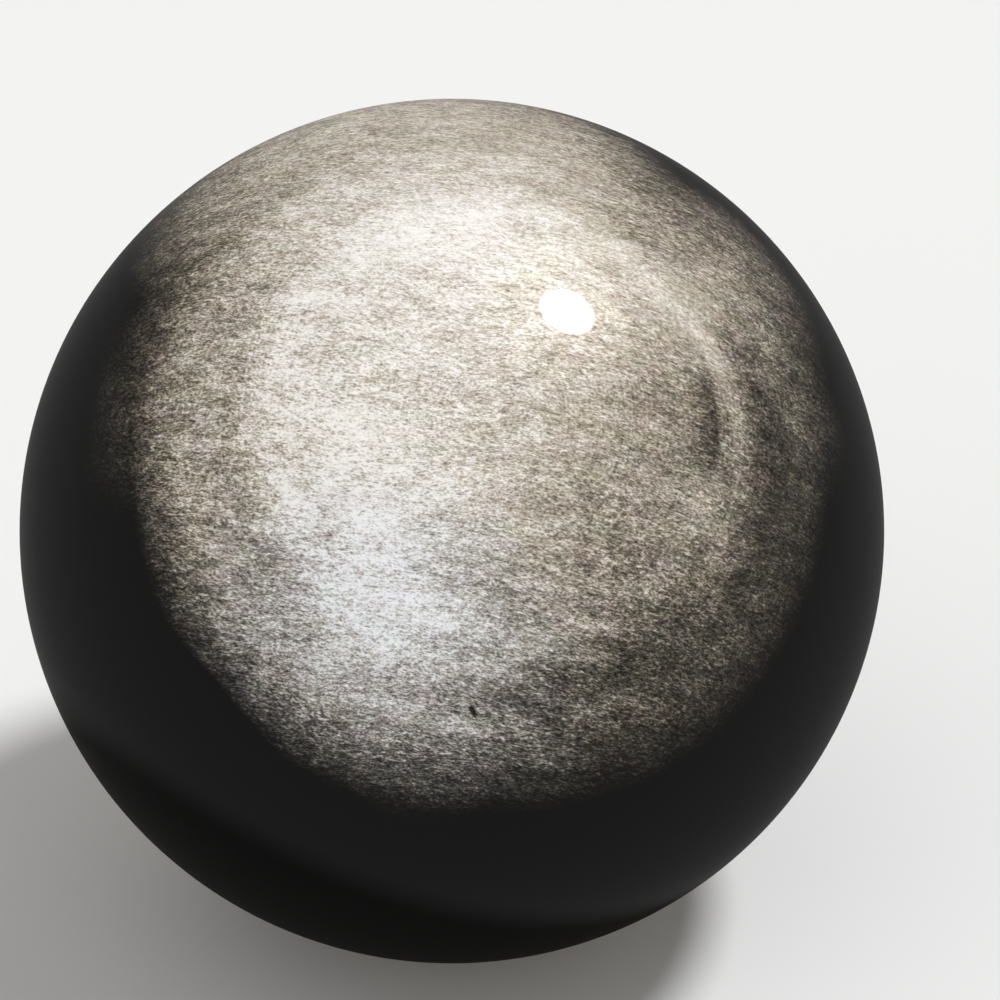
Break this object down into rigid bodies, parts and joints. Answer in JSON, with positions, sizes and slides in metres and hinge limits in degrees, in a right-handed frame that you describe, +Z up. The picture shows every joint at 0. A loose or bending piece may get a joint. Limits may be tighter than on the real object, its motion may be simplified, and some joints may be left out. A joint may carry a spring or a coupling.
{
  "type": "obsidian sphere",
  "caption": "Solid polished ball of black volcanic glass with a silvery grained sheen on two opposite sides, for display or as a paperweight.",
  "frame": {"origin": "centre of the ball", "axes": "+Z up as the ball is shown, -Y towards the front, where the brighter sheen is, +X to the right of it"},
  "size_m": [0.08, 0.08, 0.08],
  "materials": {
    "obsidian": "polished"
  },
  "bodies": {
    "root": {"sphere": "obsidian"}
  },
  "joints": []
}
